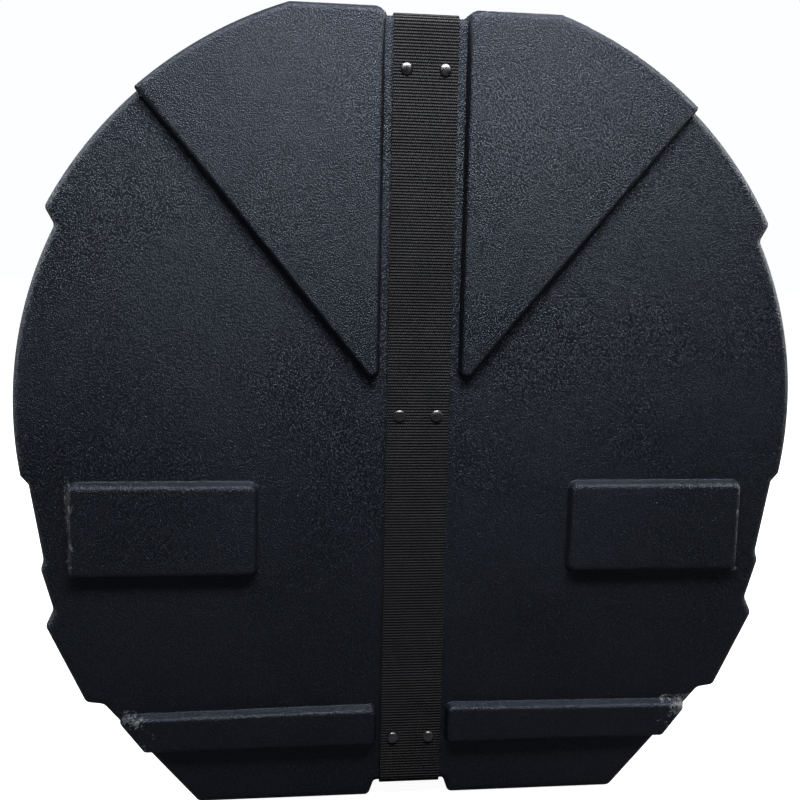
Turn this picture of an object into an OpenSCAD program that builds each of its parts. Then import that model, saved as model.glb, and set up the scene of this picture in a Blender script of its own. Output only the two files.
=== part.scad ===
// Moulded hard case for a large drum: a flat-footed tub, a lid that telescopes over its rim,
// a webbing strap with a side-release buckle, and a fold-down carrying handle.
// The case stands on its feet. Its back face looks along -Y and its lid is on the +Y side.

/* [Shell] */
// Depth between the flat of the back face and the flat of the lid's front face
depth = 480; // [420:5:520]
// Depth of the lid's side wall
lid_depth = 150; // [120:5:180]
// Length of the tub's spigot that the lid slides over
overlap = 90; // [60:5:100]
// Thickness of the moulded walls
wall = 4; // [3:0.5:5]
// Gap between the lid and the spigot
lid_gap = 0.8; // [0.4:0.1:1.5]
// Radius of the rounded edge around each face
rim_r = 6; // [4:0.5:7]
// Thickness of the foam lining
foam_t = 12; // [6:1:15]

/* [Outline] */
// Radius of the side wall over the middle of its height
side_r = 314; // [312:0.5:316]
// Radius of the upper side wall, above the first notch
upper_r = 326.5; // [324:0.5:327]
// Radius of the wall across the raised top wedges
wedge_r = 328.5; // [328:0.5:331]
// Height of the flat top deck above the arcs' centre
deck_z = 311.7; // [308:0.1:314]
// Depth of the underside below the arcs' centre
foot_z = 326; // [322:1:330]

/* [Raised panels] */
// Height of the raised panels above the face
relief = 8; // [6:0.5:10]
// Width of the strap channel between the two wedges
channel_w = 62; // [58:1:66]
// Rounding of the panels' top edges
panel_r = 4; // [2:0.5:5]

/* [Strap] */
// Width of the webbing
strap_w = 50; // [48:1:52]
// Thickness of the webbing
strap_t = 2; // [1.5:0.1:2.2]
// Distance between the two rivets of a pair
rivet_pitch = 30; // [26:1:34]
// Diameter of a rivet's domed head
head_d = 9.5; // [8.5:0.1:11]

/* [Buckle] */
// Width of the buckle
buckle_w = 64; // [63:0.5:66]
// Thickness of the buckle
buckle_t = 14; // [14:0.5:16]
// Height of the buckle's lower edge above the floor
buckle_z = 200; // [190:5:205]

/* [Handle] */
// Distance from the handle's hinge line to the middle of its grip
handle_reach = 48; // [44:1:60]
// Radius of the rubber grip
grip_r = 10; // [8:0.5:11]
// Height of the hinge line above the top deck
hinge_h = 12; // [12:0.5:15]
// Radius of the hinge pins
pin_r = 3; // [2.5:0.5:3.5]

/* [Hidden] */
$fn = 64;

plastic = [0.07, 0.08, 0.10];
webbing = [0.13, 0.13, 0.14];
fittings = [0.04, 0.04, 0.05];
foam = [0.25, 0.26, 0.28];
metal = [0.55, 0.56, 0.58];

// The two face planes, placed so that the whole part is centred on Y = 0
strap_gap = 0.3;
buckle_gap = 0.8;
back_y = relief - (relief + depth + buckle_gap + buckle_t) / 2;
front_y = back_y + depth;
split_y = front_y - lid_depth;
split_gap = 1;

// Heights above the floor
deck_h = foot_z + deck_z;
channel_z = deck_z - 5;
channel_h = foot_z + channel_z;
slot_z = -foot_z + 13;
slot_h = foot_z + slot_z;

// The outline's corners, measured from the arcs' centre
panel_draft = 5;
wedge_corner_a = 48.4;
notch_1_out_a = 28.8;
notch_1_in_a = 27.3;
notch_2_out_a = -9;
LOWER_SIDE = [
    [304, -56.5], [294.5, -117], [297, -124.5], [288, -157.5], [294.5, -171.5],
    [264.5, -236.5], [250.5, -238.5], [175.5, -foot_z], [34, -foot_z], [29.5, slot_z]
];

// The wedges' slanting edge runs from the tip beside the channel to the rim
wedge_tip = [channel_w / 2, 17];

// The rectangular pads and the bars across the bottom
pad_x = [128, 275];
pad_z = [-132.5, -52.7];
bar_x = 28.3;
bar_z = [-279, -242.6];

// Rivet pairs down the back, measured from the arcs' centre
RIVET_Z = [267, 0, -272.5];
shank_r = 2;
hole_r = 2.1;
head_h = 2.2;
washer_r = 6;
washer_t = 1.2;
tail_r = 3.2;
tail_h = 1.6;

function arc(r, a0, a1, n, c = [0, 0]) =
    [for (i = [0:n]) let (a = a0 + (a1 - a0) * i / n) c + r * [cos(a), sin(a)]];
function reversed(pts) = [for (i = [len(pts) - 1:-1:0]) pts[i]];
function flipped(pts) = [for (p = reversed(pts)) [-p[0], p[1]]];
function right_of(a, b) = let (d = (b - a) / norm(b - a)) [d[1], -d[0]];

// A clockwise outline moved inwards by t, with sharp corners
function inset(pts, t) = [
    for (i = [0:len(pts) - 1])
        let (n = len(pts), p = pts[i],
             n1 = right_of(pts[(i + n - 1) % n], p),
             n2 = right_of(p, pts[(i + 1) % n]))
        p + t * (n1 + n2) / (1 + n1 * n2)
];

// Both edges of a band of thickness t that follows an open path
function ribbon(path, t) =
    let (n = len(path),
         sides = [
             for (i = [0:n - 1])
                 let (n1 = right_of(path[max(i - 1, 0)], path[max(i, 1)]),
                      n2 = right_of(path[min(i, n - 2)], path[min(i + 1, n - 1)]))
                 (n1 + n2) / (1 + n1 * n2)
         ])
    concat([for (i = [0:n - 1]) path[i] + t / 2 * sides[i]],
           reversed([for (i = [0:n - 1]) path[i] - t / 2 * sides[i]]));

wedge_arc = arc(wedge_r, asin(deck_z / wedge_r), wedge_corner_a, 6);
right_side = concat(
    [[channel_w / 2, channel_z], [channel_w / 2 + panel_draft, deck_z]],
    wedge_arc,
    arc(upper_r, wedge_corner_a, notch_1_out_a, 5),
    arc(side_r, notch_1_in_a, notch_2_out_a, 9),
    LOWER_SIDE);
outline = concat(right_side, flipped(right_side));

wedge = concat(
    [[channel_w / 2, channel_z], [channel_w / 2 + panel_draft, deck_z]],
    wedge_arc,
    [wedge_tip]);
pad = [
    [pad_x[0], pad_z[1]], [pad_x[1], pad_z[1]], [pad_x[1], pad_z[0]], [pad_x[0], pad_z[0]]
];
lower_edge = [LOWER_SIDE[6], LOWER_SIDE[7]];
function on_lower_edge(z) =
    let (a = lower_edge[0], b = lower_edge[1]) a + (b - a) * (z - a[1]) / (b[1] - a[1]);
bar = [[bar_x, bar_z[1]], on_lower_edge(bar_z[1]), on_lower_edge(bar_z[0]), [bar_x, bar_z[0]]];

// A prism of an outline, from y0 to y1
module slab(pts, y0, y1) {
    translate([0, y1, foot_z]) rotate([90, 0, 0]) linear_extrude(y1 - y0) polygon(pts);
}

// A prism whose low-Y edge is rounded by n thin layers of radius r
module rounded_slab(pts, y0, y1, r, n) {
    for (k = [0:n]) {
        a = 90 - 90 * k / n;
        b = 90 - 90 * (k + 1) / n;
        slab(inset(pts, r * (1 - cos(a))), y0 + r * (1 - sin(a)), k == n ? y1 : y0 + r * (1 - sin(b)));
    }
}

module both_sides() {
    children();
    mirror([1, 0, 0]) children();
}

// One half of the case as a solid block, with its face at Y = 0 and its rim at Y = length
module half_block(length) {
    rounded_slab(outline, 0, length, rim_r, 4);
    both_sides() {
        rounded_slab(wedge, -relief, relief + 2, panel_r, 2);
        rounded_slab(pad, -relief, 1, panel_r, 2);
        rounded_slab(bar, -relief, relief + 2, panel_r, 2);
    }
}

// The hollow inside that block, with the walls' thickness left all round
module half_hollow(length) {
    slab(inset(outline, wall), wall, length);
    both_sides() {
        slab(inset(wedge, wall + panel_r / 2), wall - relief, wall + 1);
        slab(inset(pad, wall), wall - relief, wall + 1);
        slab(inset(bar, wall + panel_r / 2), wall - relief, wall + 1);
    }
}

module at_strap_rivets(zs = RIVET_Z) {
    for (z = zs, side = [-1, 1])
        translate([side * rivet_pitch / 2, back_y, foot_z + z]) children();
}

module at_bracket_rivets() {
    for (side = [-1, 1], x = bracket_rivet_x)
        translate([side * x, hinge_y, deck_h]) children();
}

// A blind rivet along Z: its head sits at Z = grip and its tail is formed at Z = 0
module blind_rivet(grip) {
    rotate_extrude() polygon(concat(
        [[0, -washer_t - tail_h], [tail_r, -washer_t - tail_h], [tail_r, -washer_t],
         [shank_r, -washer_t], [shank_r, grip], [head_d / 2, grip]],
        [for (a = [15:15:90]) [head_d / 2 * cos(a), grip + head_h * sin(a)]]));
}

module washer() {
    translate([0, 0, -washer_t]) difference() {
        cylinder(r = washer_r, h = washer_t);
        translate([0, 0, -1]) cylinder(r = hole_r, h = washer_t + 2);
    }
}

/* ---------- tub, lid and foam ---------- */

spigot_inset = wall + lid_gap;
base_length = split_y - back_y;

module base_shell() {
    color(plastic) difference() {
        union() {
            translate([0, back_y, 0]) half_block(base_length);
            slab(inset(outline, spigot_inset), split_y - 1, split_y + overlap);
        }
        translate([0, back_y, 0]) half_hollow(base_length - wall);
        slab(inset(outline, spigot_inset + wall), split_y - wall - 1, split_y + overlap + 1);
        at_strap_rivets() rotate([-90, 0, 0]) translate([0, 0, -1]) cylinder(r = hole_r, h = wall + 2);
        at_bracket_rivets() translate([0, 0, -wall - 1]) cylinder(r = hole_r, h = wall + 2);
    }
}

module lid_shell() {
    color(plastic) translate([0, front_y, 0]) mirror([0, 1, 0]) difference() {
        half_block(lid_depth - split_gap);
        half_hollow(lid_depth);
    }
}

foam_gap = 0.3;
pocket_r = washer_r + 2;
pocket_h = 5;

module base_floor_foam() {
    color(foam) difference() {
        slab(inset(outline, wall + foam_gap), back_y + wall + foam_gap, back_y + wall + foam_t);
        at_strap_rivets() rotate([-90, 0, 0]) cylinder(r = pocket_r, h = wall + pocket_h);
    }
}

module base_wall_foam() {
    color(foam) difference() {
        slab(inset(outline, wall + foam_gap), back_y + wall + foam_t + foam_gap, split_y - wall - foam_gap);
        slab(inset(outline, wall + foam_t), back_y, split_y);
        at_bracket_rivets() translate([0, 0, -wall - pocket_h]) cylinder(r = pocket_r, h = pocket_h + wall);
    }
}

module lid_foam() {
    color(foam)
        slab(inset(outline, wall + foam_gap), front_y - wall - foam_t, front_y - wall - foam_gap);
}

/* ---------- strap ---------- */

front_gap = 2.2;
corner_run = 30;
back_path_y = back_y - strap_gap - strap_t / 2;
top_path_z = channel_h + strap_gap + strap_t / 2;
bottom_path_z = slot_h - strap_gap - strap_t / 2;
front_path_y = front_y + front_gap + strap_t / 2;
bend_r = rim_r + strap_gap + strap_t / 2;
front_bend_r = bend_r + 0.7;

// Where the webbing turns round the buckle's bars, and the tail that lies back on it
loop_y = front_y + buckle_gap + buckle_t / 2;
bar_r = 2.6;
loop_r = bar_r + 0.2 + strap_t / 2;
tail_path_y = front_path_y + strap_t + 0.6;
body_bar_z = buckle_z + 5;
plug_bar_z = buckle_z + 82;
tail_end_z = plug_bar_z + 162;

// A band of webbing that follows a path of [Y, Z] points
module band(path) {
    translate([-strap_w / 2, 0, 0]) rotate([90, 0, 90]) linear_extrude(strap_w)
        polygon(ribbon(path, strap_t));
}

module strap_back() {
    bottom_c = [back_path_y + bend_r, bottom_path_z + bend_r];
    top_c = [back_path_y + bend_r, top_path_z - bend_r];
    color(webbing) difference() {
        band(concat(
            [[back_y + corner_run, bottom_path_z]],
            arc(bend_r, 270, 180, 6, bottom_c),
            arc(bend_r, 180, 90, 6, top_c),
            [[back_y + corner_run, top_path_z]]));
        at_strap_rivets() rotate([90, 0, 0]) cylinder(r = hole_r, h = strap_t + 2);
    }
}

module strap_run(z) {
    color(webbing) translate([-strap_w / 2, back_y + corner_run, z - strap_t / 2])
        cube([strap_w, depth - 2 * corner_run, strap_t]);
}

module strap_top() {
    strap_run(top_path_z);
}

module strap_bottom() {
    strap_run(bottom_path_z);
}

module strap_front_upper() {
    c = [front_path_y - front_bend_r, top_path_z - front_bend_r];
    color(webbing) band(concat(
        [[front_y - corner_run, top_path_z]],
        arc(front_bend_r, 90, 0, 6, c),
        [[front_path_y, plug_bar_z + 82], [loop_y - loop_r, plug_bar_z + 17],
         [loop_y - loop_r, plug_bar_z + 1]]));
}

module strap_front_lower() {
    c = [front_path_y - front_bend_r, bottom_path_z + front_bend_r];
    color(webbing) band(concat(
        [[front_y - corner_run, bottom_path_z]],
        arc(front_bend_r, -90, 0, 6, c),
        [[front_path_y, body_bar_z - 55], [loop_y - loop_r, body_bar_z - 15]],
        arc(loop_r, 180, 0, 12, [loop_y, body_bar_z]),
        [[loop_y + loop_r, body_bar_z - 8], [tail_path_y, body_bar_z - 35],
         [tail_path_y, body_bar_z - 85]]));
}

module strap_tail() {
    color(webbing) band(concat(
        [[loop_y - loop_r, plug_bar_z + 1]],
        arc(loop_r, 180, 360, 12, [loop_y, plug_bar_z]),
        [[loop_y + loop_r, plug_bar_z + 15], [tail_path_y, plug_bar_z + 47],
         [tail_path_y, tail_end_z]]));
}

keeper_z = plug_bar_z + 112;
keeper_h = 12;
keeper_t = 1.5;

module strap_keeper() {
    inner = [strap_w + 2, tail_path_y + strap_t / 2 + 0.3 - (front_y + 1.9), keeper_h + 2];
    color(fittings) translate([0, front_y + 1.9, keeper_z]) difference() {
        translate([-inner[0] / 2 - keeper_t, -keeper_t, 0])
            cube([inner[0] + 2 * keeper_t, inner[1] + 2 * keeper_t, keeper_h]);
        translate([-inner[0] / 2, 0, -1]) cube(inner);
    }
}

module strap_rivets(z) {
    color(fittings) at_strap_rivets([z]) translate([0, wall, 0]) rotate([90, 0, 0])
        blind_rivet(wall + strap_gap + strap_t);
}

module strap_rivets_top() {
    strap_rivets(RIVET_Z[0]);
}

module strap_rivets_middle() {
    strap_rivets(RIVET_Z[1]);
}

module strap_rivets_bottom() {
    strap_rivets(RIVET_Z[2]);
}

module strap_washers() {
    color(metal) at_strap_rivets() translate([0, wall, 0]) rotate([90, 0, 0]) washer();
}

/* ---------- side-release buckle ---------- */

body_h = 60;
mouth_z = buckle_z + body_h;
rail_w = 6;
skin = 2.5;
cavity_w = 53;
cavity_y = front_y + buckle_gap + skin;
cavity_t = buckle_t - 2 * skin;
window_z = [mouth_z - 40, mouth_z - 12];
prong_clear = 1;
prong_x = 20;
prong_z = mouth_z + 4;
prong_w = 6;
prong_end_z = mouth_z - 38;
shoulder_z = [mouth_z - 36, mouth_z - 24];
shoulder_x = cavity_w / 2 + 1.6;
trunnion_r = 1.5;
plug_top_z = plug_bar_z + 14;

// A rounded plate in the XZ plane, buckle thickness deep
module buckle_plate(z0, z1, r) {
    w = buckle_w / 2 - r;
    translate([0, front_y + buckle_gap + buckle_t, 0]) rotate([90, 0, 0]) linear_extrude(buckle_t) {
        translate([-w, z0]) square([2 * w, z1 - z0]);
        translate([-w - r, z0 + r]) square([2 * w + 2 * r, z1 - z0 - 2 * r]);
        for (x = [-w, w], z = [z0 + r, z1 - r]) translate([x, z]) circle(r);
    }
}

module cross_bar(z, r) {
    x = buckle_w / 2 - rail_w + 1;
    translate([-x, loop_y, z]) rotate([0, 90, 0]) cylinder(r = r, h = 2 * x);
}

// An opening right through the buckle between its side rails
module rail_slot(z0, z1) {
    x = buckle_w / 2 - rail_w;
    translate([-x, front_y, z0]) cube([2 * x, buckle_t + 5, z1 - z0]);
}

module buckle_body() {
    color(fittings) union() {
        difference() {
            buckle_plate(buckle_z, mouth_z, 5);
            rail_slot(buckle_z - 1, body_bar_z + 9);
            translate([-cavity_w / 2, cavity_y, window_z[0] - 3])
                cube([cavity_w, cavity_t, body_h]);
            translate([-buckle_w, cavity_y, window_z[0]])
                cube([2 * buckle_w, cavity_t, window_z[1] - window_z[0]]);
        }
        cross_bar(body_bar_z, bar_r);
    }
}

module buckle_plug() {
    head_z = mouth_z + 0.5;
    color(fittings) union() {
        difference() {
            buckle_plate(head_z, plug_top_z, 4);
            rail_slot(plug_bar_z - 9, plug_top_z + 1);
            for (side = [-1, 1]) {
                translate([side * prong_x - 7, cavity_y, head_z - 1]) cube([14, cavity_t, 9]);
                translate([side * prong_x, cavity_y - skin + 1, prong_z]) rotate([-90, 0, 0])
                    cylinder(r = trunnion_r + 0.05, h = buckle_t - 2);
            }
        }
        translate([-5.5, cavity_y + prong_clear, prong_end_z + 2])
            cube([11, cavity_t - 2 * prong_clear, head_z - prong_end_z]);
        cross_bar(plug_bar_z, bar_r);
        cross_bar(plug_top_z - 3, 2);
    }
}

// The right-hand prong; the left one is its mirror image
module prong() {
    t = cavity_t - 2 * prong_clear;
    edge = prong_x + prong_w / 2;
    color(fittings) translate([0, cavity_y + prong_clear, 0]) union() {
        translate([0, t, 0]) rotate([90, 0, 0]) linear_extrude(t) {
            polygon([
                [prong_x - prong_w / 2, prong_z], [edge, prong_z], [edge, shoulder_z[1]],
                [shoulder_x, shoulder_z[1]], [shoulder_x, shoulder_z[0] + 5],
                [edge, prong_end_z], [prong_x - prong_w / 2, prong_end_z]
            ]);
            translate([prong_x, prong_z]) circle(prong_w / 2);
        }
        translate([prong_x, -prong_clear - skin + 1.2, prong_z]) rotate([-90, 0, 0])
            cylinder(r = trunnion_r, h = buckle_t - 2.4);
    }
}

module buckle_prong_right() {
    prong();
}

module buckle_prong_left() {
    mirror([1, 0, 0]) prong();
}

/* ---------- carrying handle ---------- */

hinge_y = -30;
hinge_z = deck_h + hinge_h;
ear_x = [62, 75];
ear_t = 3;
arm_x = 65.5;
arm_w = 9;
plate_x = [46, 100];
plate_y = 18;
plate_t = 3;
bracket_rivet_x = [54, 89];
core_r = 4;

module handle_bail() {
    color(fittings) {
        both_sides() translate([arm_x, 0, 0]) difference() {
            union() {
                translate([0, hinge_y, hinge_z - 4]) cube([arm_w, handle_reach, 8]);
                for (y = [hinge_y, hinge_y + handle_reach])
                    translate([0, y, hinge_z]) rotate([0, 90, 0]) cylinder(r = 6.5, h = arm_w);
            }
            translate([-1, hinge_y, hinge_z]) rotate([0, 90, 0])
                cylinder(r = pin_r + 0.08, h = arm_w + 2);
        }
        translate([-arm_x - 1, hinge_y + handle_reach, hinge_z]) rotate([0, 90, 0])
            cylinder(r = core_r, h = 2 * arm_x + 2);
    }
}

module handle_grip() {
    length = 2 * arm_x - 1;
    end = 3;
    color(fittings) translate([-length / 2, hinge_y + handle_reach, hinge_z]) rotate([0, 90, 0])
        rotate_extrude() polygon([
            [core_r + 0.1, 0], [grip_r - end, 0], [grip_r, end], [grip_r, length - end],
            [grip_r - end, length], [core_r + 0.1, length]
        ]);
}

module handle_bracket() {
    color(fittings) difference() {
        union() {
            translate([plate_x[0], hinge_y - plate_y, deck_h])
                cube([plate_x[1] - plate_x[0], 2 * plate_y, plate_t]);
            for (x = ear_x) translate([x, hinge_y, 0]) {
                translate([0, -8, deck_h]) cube([ear_t, 16, hinge_h]);
                translate([0, 0, hinge_z]) rotate([0, 90, 0]) cylinder(r = 8, h = ear_t);
            }
        }
        translate([ear_x[0] - 1, hinge_y, hinge_z]) rotate([0, 90, 0])
            cylinder(r = pin_r + 0.02, h = ear_x[1] - ear_x[0] + ear_t + 2);
        for (x = bracket_rivet_x) translate([x, hinge_y, deck_h - 1]) cylinder(r = hole_r, h = plate_t + 2);
    }
}

module handle_bracket_right() {
    handle_bracket();
}

module handle_bracket_left() {
    mirror([1, 0, 0]) handle_bracket();
}

module handle_pins() {
    length = ear_x[1] + ear_t - ear_x[0];
    color(metal) both_sides() translate([ear_x[0], hinge_y, hinge_z]) rotate([0, 90, 0]) {
        cylinder(r = pin_r, h = length);
        for (x = [-1.2, length]) translate([0, 0, x]) cylinder(r = pin_r + 1.5, h = 1.2);
    }
}

module bracket_rivets() {
    color(metal) at_bracket_rivets() translate([0, 0, -wall]) blind_rivet(wall + plate_t);
}

module bracket_washers() {
    color(metal) at_bracket_rivets() translate([0, 0, -wall]) washer();
}

base_shell();
base_floor_foam();
base_wall_foam();
lid_shell();
lid_foam();
strap_back();
strap_top();
strap_bottom();
strap_front_upper();
strap_front_lower();
strap_tail();
strap_keeper();
strap_rivets_top();
strap_rivets_middle();
strap_rivets_bottom();
strap_washers();
buckle_body();
buckle_plug();
buckle_prong_left();
buckle_prong_right();
handle_bail();
handle_grip();
handle_bracket_left();
handle_bracket_right();
handle_pins();
bracket_rivets();
bracket_washers();
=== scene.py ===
import math

import bmesh
import bpy
from mathutils import Matrix, Vector


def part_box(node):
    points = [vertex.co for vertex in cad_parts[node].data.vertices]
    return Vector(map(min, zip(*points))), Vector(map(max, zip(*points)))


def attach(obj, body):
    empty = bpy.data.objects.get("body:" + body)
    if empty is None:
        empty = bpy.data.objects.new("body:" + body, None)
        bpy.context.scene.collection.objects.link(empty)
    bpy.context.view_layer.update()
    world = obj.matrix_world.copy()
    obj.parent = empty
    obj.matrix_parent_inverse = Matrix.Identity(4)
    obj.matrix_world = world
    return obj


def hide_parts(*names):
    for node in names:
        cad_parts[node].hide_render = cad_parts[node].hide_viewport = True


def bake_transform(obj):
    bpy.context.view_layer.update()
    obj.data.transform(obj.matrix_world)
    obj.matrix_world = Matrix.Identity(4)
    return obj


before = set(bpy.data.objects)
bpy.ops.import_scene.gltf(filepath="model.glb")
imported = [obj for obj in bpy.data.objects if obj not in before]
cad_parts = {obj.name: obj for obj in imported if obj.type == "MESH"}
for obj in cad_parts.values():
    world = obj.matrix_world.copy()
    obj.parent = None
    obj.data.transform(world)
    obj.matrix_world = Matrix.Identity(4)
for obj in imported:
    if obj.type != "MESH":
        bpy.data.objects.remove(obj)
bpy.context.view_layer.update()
print("frame loaded")

# where the case's faces are, from the frame
mm = 0.001
shell = {
    "wall": 4 * mm,
    "reliefWall": 3.5 * mm,    # how deep the panels' blocks are let into the wall
    "overlap": 1 * mm,
    "relief": 8 * mm,          # how far the panels stand proud
    "rimRadius": 6 * mm,
    "cornerRounds": (2.4 * mm, 3.6 * mm, 1.1 * mm),  # of steps, channel and wedge ends
    "spigotInset": 4.8 * mm,
    "faceStep": 0.6 * mm,      # a narrow ring of faces that keeps the flat panels flat
    "lidGap": 1 * mm,
    "centreHeight": 326 * mm,  # of the outline's arcs
}
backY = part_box("base_shell")[0].y + shell["relief"]
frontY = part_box("lid_shell")[1].y - shell["relief"]
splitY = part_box("lid_shell")[0].y - shell["lidGap"]
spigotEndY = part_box("base_shell")[1].y
centreZ = shell["centreHeight"]

camera = {
    "lens": 44.8,
    "place": (-104.7 * mm, backY - 781 * mm, centreZ + 125.4 * mm),
    "yaw": math.radians(6.59),
    "pitch": math.radians(-8.18),
    "roll": math.radians(1.21),
}


def addCamera():
    yaw, pitch, roll = camera["yaw"], camera["pitch"], camera["roll"]
    forward = Vector((math.sin(yaw) * math.cos(pitch), math.cos(yaw) * math.cos(pitch), math.sin(pitch)))
    right = Vector((math.cos(yaw), -math.sin(yaw), 0))
    turned = Matrix((right, right.cross(forward), -forward)).transposed() @ Matrix.Rotation(roll, 3, "Z")
    data = bpy.data.cameras.new("camera")
    data.lens = camera["lens"]
    data.sensor_width = 36
    data.clip_start = 0.01
    eye = bpy.data.objects.new("camera", data)
    bpy.context.scene.collection.objects.link(eye)
    eye.matrix_world = Matrix.Translation(camera["place"]) @ turned.to_4x4()
    bpy.context.scene.camera = eye


addCamera()


def deselectAll():
    if bpy.context.mode != "OBJECT":
        bpy.ops.object.mode_set(mode="OBJECT")
    bpy.ops.object.select_all(action="DESELECT")


def makeActive(piece):
    deselectAll()
    piece.select_set(True)
    bpy.context.view_layer.objects.active = piece


def editMode(piece):
    makeActive(piece)
    bpy.ops.object.mode_set(mode="EDIT")
    bpy.ops.mesh.select_mode(type="VERT")


def objectMode():
    bpy.ops.object.mode_set(mode="OBJECT")


def selectWhere(piece, test, kind="VERT"):
    # selects the points, edges or faces whose place passes the test
    bpy.ops.mesh.select_mode(type=kind)
    bpy.ops.mesh.select_all(action="DESELECT")
    bm = bmesh.from_edit_mesh(piece.data)
    if kind == "VERT":
        for v in bm.verts:
            v.select_set(test(v.co))
    elif kind == "EDGE":
        for e in bm.edges:
            e.select_set(all(test(v.co) for v in e.verts))
    else:
        for f in bm.faces:
            f.select_set(test(f.calc_center_median()))
    bmesh.update_edit_mesh(piece.data)


def extrudeBy(x, y, z):
    bpy.ops.mesh.extrude_region_move(TRANSFORM_OT_translate={"value": (x, y, z)})


def drawPoints(name, points):
    # a line drawn point by point from a single vertex
    deselectAll()
    bpy.ops.mesh.primitive_plane_add(size=1 * mm, location=(0, 0, 0))
    piece = bpy.context.object
    piece.name = name
    editMode(piece)
    bpy.ops.mesh.select_all(action="SELECT")
    bpy.ops.mesh.merge(type="CENTER")
    bpy.ops.transform.translate(value=points[0])
    for a, b in zip(points, points[1:]):
        step = tuple(q - p for p, q in zip(a, b))
        bpy.ops.mesh.extrude_vertices_move(TRANSFORM_OT_translate={"value": step})
    return piece


def drawOutline(name, points, y):
    # a flat face through (x, z) points, looking along -Y, left in edit mode
    piece = drawPoints(name, [(x, y, z) for x, z in points])
    bpy.ops.mesh.select_all(action="SELECT")
    bpy.ops.mesh.edge_face_add()
    bm = bmesh.from_edit_mesh(piece.data)
    bm.normal_update()
    if any(f.normal.y > 0 for f in bm.faces):
        bpy.ops.mesh.flip_normals()
    return piece


def markCorners(piece, cornerSets):
    # remembers the outline's corners, so that every edge drawn up from them can be found again
    for k in range(len(cornerSets)):
        piece.vertex_groups.new(name="corners%d" % k)
    bm = bmesh.from_edit_mesh(piece.data)
    layer = bm.verts.layers.deform.verify()
    for v in bm.verts:
        for k, corners in enumerate(cornerSets):
            if any(math.dist((v.co.x, v.co.z), corner) < 0.05 * mm for corner in corners):
                v[layer][k] = 1.0
    bmesh.update_edit_mesh(piece.data)


def softenCorners(piece, widths, segments=4):
    # bevels the edges that climb from each set of marked corners
    for k, width in enumerate(widths):
        bpy.ops.mesh.select_mode(type="EDGE")
        bpy.ops.mesh.select_all(action="DESELECT")
        bm = bmesh.from_edit_mesh(piece.data)
        layer = bm.verts.layers.deform.verify()
        for e in bm.edges:
            a, b = e.verts
            climbs = abs(a.co.y - b.co.y) > 0.001 * mm
            e.select_set(climbs and a[layer].get(k, 0) > 0.5 and b[layer].get(k, 0) > 0.5)
        bmesh.update_edit_mesh(piece.data)
        bpy.ops.mesh.bevel(offset=width, segments=segments, affect="EDGES")


def raiseFace(piece, y, steps):
    # (inset, rise) steps on the face that lies at y and looks along -Y
    selectWhere(piece, lambda co: abs(co.y - y) < 0.02 * mm, kind="FACE")
    for inset, rise in steps:
        bpy.ops.mesh.inset(thickness=inset, depth=rise)


def quarterRound(radius, count):
    turns = [math.radians(90 * k / count) for k in range(count + 1)]
    return [(radius * (math.cos(a) - math.cos(b)), radius * (math.sin(b) - math.sin(a)))
            for a, b in zip(turns, turns[1:])]


def applyModifier(piece, kind, **settings):
    makeActive(piece)
    modifier = piece.modifiers.new(kind.lower(), kind)
    for key, value in settings.items():
        setattr(modifier, key, value)
    bpy.ops.object.modifier_apply(modifier=modifier.name)


def closeNormals(piece):
    bpy.ops.mesh.select_all(action="SELECT")
    bpy.ops.mesh.remove_doubles(threshold=0.00001)
    bpy.ops.mesh.normals_make_consistent(inside=False)


def joined(name, pieces):
    deselectAll()
    for piece in pieces:
        piece.select_set(True)
    bpy.context.view_layer.objects.active = pieces[0]
    if len(pieces) > 1:
        bpy.ops.object.join()
    pieces[0].name = name
    return pieces[0]


def copied(piece, name, matrix):
    # a copy with its own mesh, turned or mirrored by the matrix
    makeActive(piece)
    bpy.ops.object.duplicate()
    copy = bpy.context.object
    copy.name = name
    copy.matrix_world = matrix
    bpy.ops.object.transform_apply(location=True, rotation=True, scale=True)
    if matrix.determinant() < 0:
        editMode(copy)
        closeNormals(copy)
        objectMode()
    return copy


mirrorX = Matrix.Diagonal((-1, 1, 1, 1))


def finished(piece, body, nodes, material, angle=35):
    makeActive(piece)
    bpy.ops.object.transform_apply(location=True, rotation=True, scale=True)
    bpy.ops.object.shade_smooth_by_angle(angle=math.radians(angle))
    applyModifier(piece, "WEIGHTED_NORMAL", keep_sharp=True)
    piece.data.materials.clear()
    piece.data.materials.append(material)
    if body:
        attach(piece, body)
    if nodes:
        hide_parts(*nodes)
    return piece


def put(tree, kind, inputs=None, **settings):
    # adds a node; inputs are sockets to link from, or values
    node = tree.nodes.new(kind)
    for key, value in settings.items():
        setattr(node, key, value)
    for key, value in (inputs or {}).items():
        if isinstance(value, bpy.types.NodeSocket):
            tree.links.new(value, node.inputs[key])
        else:
            node.inputs[key].default_value = value
    return node


def maths(tree, operation, *values, clamp=False):
    inputs = dict(enumerate(values))
    return put(tree, "ShaderNodeMath", inputs, operation=operation, use_clamp=clamp).outputs[0]


def ranged(tree, value, low, high, start=0.0, end=1.0):
    inputs = {"Value": value, "From Min": low, "From Max": high, "To Min": start, "To Max": end}
    return put(tree, "ShaderNodeMapRange", inputs, interpolation_type="SMOOTHSTEP").outputs["Result"]


def newGroup(name, inputs, outputs):
    tree = bpy.data.node_groups.new(name, "ShaderNodeTree")
    for label, kind, value in inputs:
        socket = tree.interface.new_socket(name=label, in_out="INPUT", socket_type="NodeSocket" + kind)
        if value is not None:
            socket.default_value = value
    for label, kind in outputs:
        tree.interface.new_socket(name=label, in_out="OUTPUT", socket_type="NodeSocket" + kind)
    return tree, tree.nodes.new("NodeGroupInput").outputs, tree.nodes.new("NodeGroupOutput").inputs


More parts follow.
